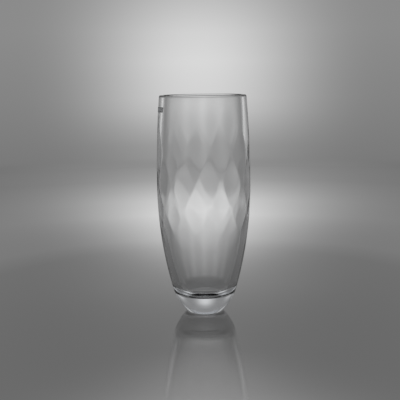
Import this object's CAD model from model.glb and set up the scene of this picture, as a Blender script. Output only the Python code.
import bpy
from math import atan2, cos, log, pi, radians, sin, sqrt, tan
from mathutils import Matrix, Vector


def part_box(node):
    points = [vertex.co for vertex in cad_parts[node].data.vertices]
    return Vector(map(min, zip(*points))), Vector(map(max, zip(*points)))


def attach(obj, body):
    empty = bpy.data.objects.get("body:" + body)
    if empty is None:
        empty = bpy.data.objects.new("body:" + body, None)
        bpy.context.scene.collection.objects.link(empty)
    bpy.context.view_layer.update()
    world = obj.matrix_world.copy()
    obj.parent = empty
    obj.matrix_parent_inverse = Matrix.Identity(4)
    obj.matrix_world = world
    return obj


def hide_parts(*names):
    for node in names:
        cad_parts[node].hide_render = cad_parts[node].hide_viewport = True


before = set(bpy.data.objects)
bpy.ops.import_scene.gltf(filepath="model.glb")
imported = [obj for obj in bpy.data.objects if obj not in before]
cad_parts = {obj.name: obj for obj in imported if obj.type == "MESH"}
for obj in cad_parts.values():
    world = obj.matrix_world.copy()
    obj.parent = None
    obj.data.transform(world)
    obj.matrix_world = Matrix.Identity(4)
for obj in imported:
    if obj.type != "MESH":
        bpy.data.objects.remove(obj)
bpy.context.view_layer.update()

scene = bpy.context.scene
mm = 0.001


def hexToLinear(hexColour):
    # "#rrggbb" in sRGB to the linear colour that shaders work in
    channels = [int(hexColour[i:i + 2], 16) / 255 for i in (1, 3, 5)]
    linear = [c / 12.92 if c <= 0.04045 else ((c + 0.055) / 1.055) ** 2.4 for c in channels]
    return (*linear, 1.0)


def addNode(tree, nodeType, settings=None, inputs=None):
    # adds a node, sets its properties, then fills its sockets with values or links
    node = tree.nodes.new(nodeType)
    for name, value in (settings or {}).items():
        setattr(node, name, value)
    for socket, value in (inputs or {}).items():
        if isinstance(value, bpy.types.NodeSocket):
            tree.links.new(value, node.inputs[socket])
        else:
            node.inputs[socket].default_value = value
    return node


def newMaterial(name):
    material = bpy.data.materials.new(name)
    material.use_nodes = True
    material.node_tree.nodes.clear()
    return material, material.node_tree


def deselectAll():
    if bpy.context.mode != "OBJECT":
        bpy.ops.object.mode_set(mode="OBJECT")
    bpy.ops.object.select_all(action="DESELECT")


studio = {
    "sweepRadius": 1.93,      # from the vase to the wall all round
    "sweepHeight": 2.4,
    "coveRadius": 0.10,       # the table curves up into the wall
    "coveSteps": 8,
    "tableDrop": 0.0001,      # a hair of air under the polished foot, which would flicker on the table
    "tableGloss": 0.045,      # roughness of the table's lacquer
    "lacquerIor": 1.45,
    "wallPools": 8,           # soft pools of light round the wall, and how sharply they fade
    "wallPoolFade": 1.5,
    "tablePools": 2,
    "tablePoolFade": 9.7,
    # the light is painted on as (metres, grey): on the table by distance from the vase, on the wall
    # by height; the glow shows in the pools, the base everywhere
    "tableBase": [
        (0.0, 0.085), (0.1, 0.10), (0.2, 0.115), (0.4, 0.13), (0.5, 0.175), (0.8, 0.195),
        (1.4, 0.15), (1.93, 0.15),
    ],
    "tableGlow": [
        (0.0, 0.0), (0.17, 0.02), (0.30, 0.12), (0.48, 0.34), (0.77, 0.57), (1.0, 0.50),
        (1.18, 0.36), (1.42, 0.22), (1.93, 0.12),
    ],
    "wallBase": [(0.0, 0.19), (0.25, 0.23), (0.5, 0.26), (1.2, 0.25), (2.4, 0.25)],
    "wallGlow": [
        (0.0, 0.12), (0.07, 0.15), (0.13, 0.24), (0.20, 0.36), (0.25, 0.41), (0.39, 0.44),
        (0.5, 0.38), (0.75, 0.12), (1.1, 0.0),
    ],
}


def rampAlong(tree, value, span, stops):
    # brightness along a distance: stops are (metres, grey)
    scaled = addNode(tree, "ShaderNodeMath", {"operation": "DIVIDE"}, {0: value, 1: span})
    ramp = addNode(tree, "ShaderNodeValToRGB", {}, {"Fac": scaled.outputs[0]})
    bands = ramp.color_ramp.elements
    while len(bands) > 1:
        bands.remove(bands[0])
    for place, (at, grey) in enumerate(stops):
        band = bands[0] if place == 0 else bands.new(at / span)
        band.position = at / span
        band.color = (grey, grey, grey, 1)
    return ramp.outputs["Color"]


def poolsRound(tree, angle, count, fade):
    # 1 at the middle of each pool of light, fading to 0 between two pools
    turns = addNode(tree, "ShaderNodeMath", {"operation": "MULTIPLY"}, {0: angle, 1: float(count)})
    wave = addNode(tree, "ShaderNodeMath", {"operation": "COSINE"}, {0: turns.outputs[0]})
    lift = addNode(
        tree, "ShaderNodeMath", {"operation": "MULTIPLY_ADD", "use_clamp": True},
        {0: wave.outputs[0], 1: 0.5, 2: 0.5},
    )
    pool = addNode(tree, "ShaderNodeMath", {"operation": "POWER"}, {0: lift.outputs[0], 1: fade})
    return pool.outputs[0]


def lacqueredTable():
    # grey lacquered board. Its light is emission, not lamps: a lamp's hard shadow of clear glass is
    # black, which real crystal's isn't. The lacquer mirrors the vase and the wall faintly
    material, tree = newMaterial("greyLacquerSweep")
    place = addNode(tree, "ShaderNodeTexCoord")
    axes = addNode(tree, "ShaderNodeSeparateXYZ", {}, {0: place.outputs["Object"]})
    flat = addNode(
        tree, "ShaderNodeCombineXYZ", {}, {0: axes.outputs["X"], 1: axes.outputs["Y"], 2: 0.0}
    )
    reach = addNode(
        tree, "ShaderNodeVectorMath", {"operation": "LENGTH"}, {0: flat.outputs[0]}
    ).outputs["Value"]
    angle = addNode(
        tree, "ShaderNodeMath", {"operation": "ARCTAN2"},
        {0: axes.outputs["X"], 1: axes.outputs["Y"]},
    ).outputs[0]

    radius, height = studio["sweepRadius"], studio["sweepHeight"]
    tableBase = rampAlong(tree, reach, radius, studio["tableBase"])
    tableGlow = rampAlong(tree, reach, radius, studio["tableGlow"])
    wallBase = rampAlong(tree, axes.outputs["Z"], height, studio["wallBase"])
    wallGlow = rampAlong(tree, axes.outputs["Z"], height, studio["wallGlow"])
    tablePool = poolsRound(tree, angle, studio["tablePools"], studio["tablePoolFade"])
    wallPool = poolsRound(tree, angle, studio["wallPools"], studio["wallPoolFade"])

    def litBy(base, glow, pool):
        amount = addNode(
            tree, "ShaderNodeVectorMath", {"operation": "MULTIPLY_ADD"}, {0: glow, 2: base}
        )
        tree.links.new(pool, amount.inputs[1])
        return amount.outputs[0]

    onWall = addNode(
        tree, "ShaderNodeMapRange", {"interpolation_type": "SMOOTHSTEP"},
        {"Value": axes.outputs["Z"], "From Min": 0.0, "From Max": 0.03},
    )
    light = addNode(
        tree, "ShaderNodeMix", {"data_type": "RGBA"},
        {0: onWall.outputs[0], 6: litBy(tableBase, tableGlow, tablePool),
         7: litBy(wallBase, wallGlow, wallPool)},
    )
    lacquer = addNode(
        tree, "ShaderNodeMapRange", {},
        {"Value": axes.outputs["Z"], "From Min": 0.0, "From Max": 0.01, "To Min": 1.0, "To Max": 0.0},
    )
    glow = addNode(tree, "ShaderNodeEmission", {}, {"Color": light.outputs[2], "Strength": 1.0})
    mirrored = addNode(
        tree, "ShaderNodeBsdfGlossy", {},
        {"Roughness": studio["tableGloss"], "Color": hexToLinear("#ffffff")},
    )
    grazing = addNode(tree, "ShaderNodeFresnel", {}, {"IOR": studio["lacquerIor"]})
    amount = addNode(
        tree, "ShaderNodeMath", {"operation": "MULTIPLY"}, {0: grazing.outputs[0], 1: lacquer.outputs[0]}
    )
    shader = addNode(
        tree, "ShaderNodeMixShader", {},
        {0: amount.outputs[0], 1: glow.outputs[0], 2: mirrored.outputs[0]},
    )
    addNode(tree, "ShaderNodeOutputMaterial", {}, {"Surface": shader.outputs[0]})
    return material


def makeSweep():
    # a table disc, a cove and a wall, spun round the vase
    deselectAll()
    radius, cove = studio["sweepRadius"], studio["coveRadius"]
    bpy.ops.mesh.primitive_circle_add(vertices=128, radius=radius - cove, fill_type="TRIFAN")
    sweep = bpy.context.object
    sweep.name = "studioSweep"
    bpy.ops.object.mode_set(mode="EDIT")
    bpy.ops.mesh.select_mode(type="EDGE")
    bpy.ops.mesh.select_all(action="DESELECT")
    bpy.ops.mesh.select_non_manifold()
    steps = studio["coveSteps"]
    for step in range(1, steps + 1):
        before, after = ((step - 1) * pi / 2 / steps, step * pi / 2 / steps)
        rise = cove * (cos(before) - cos(after))
        widen = (radius - cove + cove * sin(after)) / (radius - cove + cove * sin(before))
        bpy.ops.mesh.extrude_edges_move(TRANSFORM_OT_translate={"value": (0, 0, rise)})
        bpy.ops.transform.resize(value=(widen, widen, 1))
    wallHeight = studio["sweepHeight"] - cove
    bpy.ops.mesh.extrude_edges_move(TRANSFORM_OT_translate={"value": (0, 0, wallHeight)})
    bpy.ops.mesh.select_all(action="SELECT")
    bpy.ops.mesh.normals_make_consistent(inside=True)
    bpy.ops.object.mode_set(mode="OBJECT")
    bpy.ops.object.shade_smooth()
    sweep.data.materials.append(lacqueredTable())
    bpy.ops.transform.translate(value=(0, 0, -studio["tableDrop"]))
    bpy.ops.object.transform_apply(location=True)


makeSweep()
print("studio sweep ready")

world = bpy.data.worlds.new("studioAir")
scene.world = world
world.use_nodes = True
world.node_tree.nodes["Background"].inputs["Color"].default_value = hexToLinear("#a8aaad")
scene.view_settings.view_transform = "Standard"

cameraSettings = {
    "distance": 1.05,      # from the vase's axis
    "height": 0.32,        # a little above the rim
    "pitch": 8.87,         # degrees down
    "roll": 0.7,
    "focal": 1.9275,       # focal length in sensor widths
    "aside": -0.0053,
}
camera = bpy.data.cameras.new("studioCamera")
cameraObject = bpy.data.objects.new("studioCamera", camera)
scene.collection.objects.link(cameraObject)
camera.sensor_width = 36
camera.lens = 36 * cameraSettings["focal"]
cameraObject.location = (cameraSettings["aside"], -cameraSettings["distance"], cameraSettings["height"])
tilt = Matrix.Rotation(radians(90 - cameraSettings["pitch"]), 3, "X")
roll = Matrix.Rotation(radians(-cameraSettings["roll"]), 3, "Z")
cameraObject.rotation_euler = (tilt @ roll).to_euler()
scene.camera = cameraObject
print("camera ready")


vase = {
    "rimRadius": 59.1,
    "rimWall": 6.0,           # glass thickness at the mouth
    "rimRound": 2.5,          # fire-polished corners of the rim
    "bellyHeight": 178.0,
    "bellyWall": 6.4,
    "cavityLowRadius": 35.6,  # where the cavity's wall turns into its floor
    "cavityLowHeight": 39.4,
    "baseThickness": 26.0,
    "wallFootRadius": 43.9,   # where the outer wall turns into the foot
    "wallFootHeight": 32.0,
    "footRadius": 25.4,
    "footEdge": 0.9,          # height of the rounded edge round the polished foot
    "stepsAround": 330,       # thirty for each lozenge
    "joinWithin": 0.01,       # points nearer than this are merged after the spin
}
optic = {
    "around": 11,             # lozenges in one row
    "height": 75.0,           # of one lozenge of the middle row, tip to tip
    "stretch": 0.13,          # how fast the lozenges lengthen towards the mouth
    "depth": 0.5,             # of the valleys that part the lozenges
    "valleyRound": 0.02,
    "middleHeight": 184.0,
    "middleTurn": 5.5,        # degrees from the front, of one lozenge of the middle row
    "smoothBelow": 85.0,
    "fullAbove": 145.0,
    "fadeUnderRim": 118.0,    # the pattern fades out over this height below the rim
}


class Outline:
    # half of the vase's section, drawn from the cavity floor over the rim to the foot
    def __init__(self, start):
        deselectAll()
        bpy.ops.mesh.primitive_plane_add(size=mm, location=(start[0] * mm, 0, start[1] * mm))
        self.body = bpy.context.object
        bpy.ops.object.mode_set(mode="EDIT")
        bpy.ops.mesh.select_mode(type="VERT")
        bpy.ops.mesh.select_all(action="SELECT")
        bpy.ops.mesh.merge(type="CENTER")
        self.at = Vector(start)
        self.heading = Vector((1, 0))

    def runTo(self, end):
        step = Vector(end) - self.at
        bpy.ops.mesh.extrude_region_move(
            TRANSFORM_OT_translate={"value": (step.x * mm, 0, step.y * mm)}
        )
        self.at = Vector(end)
        self.heading = step.normalized()

    def bendTo(self, end, steps):
        # an arc that leaves along the heading and ends at a point
        chord = Vector(end) - self.at
        left = Vector((-self.heading.y, self.heading.x))
        radius = chord.length_squared / (2 * chord.dot(left))
        centre = self.at + left * radius
        turn = 2 * atan2(chord.dot(left), chord.dot(self.heading))
        bpy.ops.mesh.spin(
            steps=steps, angle=turn, center=(centre.x * mm, 0, centre.y * mm), axis=(0, 1, 0)
        )
        self.at = Vector(end)
        self.heading = Matrix.Rotation(turn, 2) @ self.heading


def makeCrystalBody():
    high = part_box("crystal_body")[1] / mm
    height, belly = high.z, high.x
    floorLevel = vase["baseThickness"]
    cavityBelly = belly - vase["bellyWall"]
    lowRadius, lowHeight = vase["cavityLowRadius"], vase["cavityLowHeight"]
    # the cavity's floor is a flat disc with a cove that runs smoothly into the wall
    lean = 2 * atan2(cavityBelly - lowRadius, vase["bellyHeight"] - lowHeight)
    cove = (lowHeight - floorLevel) / (1 - sin(lean))
    flat = lowRadius - cove * cos(lean)

    outline = Outline((0, floorLevel))
    outline.runTo((flat * 0.5, floorLevel))
    outline.runTo((flat, floorLevel))
    outline.bendTo((lowRadius, lowHeight), 14)
    outline.bendTo((cavityBelly, vase["bellyHeight"]), 90)
    mouth = vase["rimRadius"] - vase["rimWall"]
    rimRound = vase["rimRound"]
    outline.bendTo((mouth, height - rimRound), 80)
    outline.heading = Vector((0, 1))
    outline.bendTo((mouth + rimRound, height), 6)
    outline.runTo((vase["rimRadius"] - rimRound, height))
    outline.bendTo((vase["rimRadius"], height - rimRound), 6)
    # the belly is upright, so the wall above it is drawn with the arc's own starting lean
    rise, run = belly - vase["rimRadius"], height - rimRound - vase["bellyHeight"]
    wallLean = 2 * atan2(rise, run)
    outline.heading = Vector((sin(wallLean), -cos(wallLean)))
    outline.bendTo((belly, vase["bellyHeight"]), 16)
    outline.bendTo((vase["wallFootRadius"], vase["wallFootHeight"]), 24)
    outline.bendTo((vase["footRadius"], vase["footEdge"]), 14)
    slope = atan2(-outline.heading.y, -outline.heading.x)
    outline.bendTo((vase["footRadius"] - vase["footEdge"] / tan(slope / 2), 0), 5)
    outline.runTo((0, 0))
    bpy.ops.object.mode_set(mode="OBJECT")

    body = outline.body
    body.name = "crystalBody"
    bpy.ops.object.transform_apply(location=True)

    bpy.ops.object.mode_set(mode="EDIT")
    bpy.ops.mesh.select_all(action="SELECT")
    bpy.ops.mesh.spin(steps=vase["stepsAround"], angle=2 * pi, center=(0, 0, 0), axis=(0, 0, 1))
    bpy.ops.mesh.select_all(action="SELECT")
    bpy.ops.mesh.remove_doubles(threshold=vase["joinWithin"] * mm)
    bpy.ops.mesh.normals_make_consistent(inside=False)
    bpy.ops.object.mode_set(mode="OBJECT")
    bpy.ops.object.shade_smooth()
    pressOptic(body)
    return body


def smoothStep(amount):
    amount = min(max(amount, 0), 1)
    return amount * amount * (3 - 2 * amount)


def valleyDepth(place, rimHeight):
    # 0 on the crown of a lozenge, 1 in the valley round it: valleys run where two slanting waves cancel
    level = place.z / mm
    grow = optic["stretch"]
    turn = optic["around"] * (atan2(place.x, -place.y) - radians(optic["middleTurn"]))
    rise = 2 * pi / grow * log(1 + grow * (level - optic["middleHeight"]) / optic["height"])
    crown = (cos(turn) + cos(rise)) / 2
    soft = optic["valleyRound"]
    crown = (sqrt(crown * crown + soft * soft) - soft) / (sqrt(1 + soft * soft) - soft)
    start, full = optic["smoothBelow"], optic["fullAbove"]
    low = smoothStep((level - start) / (full - start))
    high = smoothStep((rimHeight - level) / optic["fadeUnderRim"])
    return (1 - crown) * low * high


def pressOptic(body):
    # the mould's lozenges: a vertex group says how deep each point of the cavity's wall is pressed
    pressed = body.vertex_groups.new(name="opticDepth")
    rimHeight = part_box("crystal_body")[1].z / mm
    for vertex in body.data.vertices:
        facesAxis = vertex.co.xy.dot(vertex.normal.xy) < 0
        if facesAxis and vertex.co.z > optic["smoothBelow"] * mm:
            pressed.add([vertex.index], valleyDepth(vertex.co, rimHeight), "REPLACE")
    press = body.modifiers.new("opticPress", "DISPLACE")
    press.vertex_group = "opticDepth"
    press.direction = "NORMAL"
    press.mid_level = 0.0
    press.strength = -optic["depth"] * mm
    deselectAll()
    bpy.context.view_layer.objects.active = body
    body.select_set(True)
    bpy.ops.object.modifier_apply(modifier="opticPress")


def clearCrystal():
    # colourless lead-free crystal, blown and fire polished: the surface itself is mirror smooth, so all
    # the eye sees is its shape, and a cool grey tint where the light crosses a lot of glass
    material, tree = newMaterial("firePolishedCrystal")
    shader = addNode(
        tree, "ShaderNodeBsdfPrincipled", {},
        {"Base Color": hexToLinear("#ffffff"), "Roughness": 0.0, "IOR": 1.52,
         "Transmission Weight": 1.0},
    )
    tint = addNode(
        tree, "ShaderNodeVolumeAbsorption", {},
        {"Color": hexToLinear("#b4c3d6"), "Density": 2.2},
    )
    addNode(
        tree, "ShaderNodeOutputMaterial", {},
        {"Surface": shader.outputs[0], "Volume": tint.outputs[0]},
    )
    return material


crystalBody = makeCrystalBody()
crystalBody.data.materials.append(clearCrystal())
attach(crystalBody, "root")
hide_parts("crystal_body")
print("crystal body ready", len(crystalBody.data.polygons))


label = {
    "stripWidth": 1.3,     # dark varnished strip along the top and the bottom edge
    "stripFade": 0.1,      # softness of the strip's printed edge
    "grain": 0.25,         # spacing of the rolled foil's fine lines, drawn coarser than real to show
}


def varnishedFoil():
    # rolled aluminium foil under satin varnish: a dull grey metal with fine level lines,
    # and a darker strip of varnish along its top and bottom edges
    material, tree = newMaterial("satinVarnishedFoil")
    low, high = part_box("maker_label")
    stripStart = (high.z - low.z) / 2 - label["stripWidth"] * mm
    place = addNode(tree, "ShaderNodeTexCoord")
    axes = addNode(tree, "ShaderNodeSeparateXYZ", {}, {0: place.outputs["Object"]})
    fromCentre = addNode(
        tree, "ShaderNodeMath", {"operation": "SUBTRACT"},
        {0: axes.outputs["Z"], 1: (low.z + high.z) / 2},
    )
    reach = addNode(tree, "ShaderNodeMath", {"operation": "ABSOLUTE"}, {0: fromCentre.outputs[0]})
    strip = addNode(
        tree, "ShaderNodeMapRange", {"interpolation_type": "SMOOTHSTEP"},
        {"Value": reach.outputs[0], "From Min": stripStart,
         "From Max": stripStart + label["stripFade"] * mm},
    )
    lines = addNode(  # at scale 1 the wave repeats every 2 pi / 20
        tree, "ShaderNodeTexWave", {"wave_type": "BANDS", "bands_direction": "Z"},
        {"Vector": place.outputs["Object"], "Scale": 2 * pi / 20 / (label["grain"] * mm),
         "Distortion": 1.5, "Detail": 2.0},
    )
    foil = addNode(
        tree, "ShaderNodeMix", {"data_type": "RGBA"},
        {0: lines.outputs["Fac"], 6: hexToLinear("#8d9093"), 7: hexToLinear("#a9acae")},
    )
    colour = addNode(
        tree, "ShaderNodeMix", {"data_type": "RGBA"},
        {0: strip.outputs[0], 6: foil.outputs[2], 7: hexToLinear("#3c4248")},
    )
    rise = addNode(
        tree, "ShaderNodeBump", {}, {"Height": lines.outputs["Fac"], "Distance": 0.02 * mm}
    )
    shader = addNode(
        tree, "ShaderNodeBsdfPrincipled", {},
        {"Base Color": colour.outputs[2], "Metallic": 0.6, "Roughness": 0.38,
         "Coat Weight": 0.4, "Coat Roughness": 0.25, "Normal": rise.outputs[0]},
    )
    addNode(tree, "ShaderNodeOutputMaterial", {}, {"Surface": shader.outputs[0]})
    return material


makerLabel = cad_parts["maker_label"]
makerLabel.data.materials.clear()
makerLabel.data.materials.append(varnishedFoil())
print("label ready")

print("sizes written")
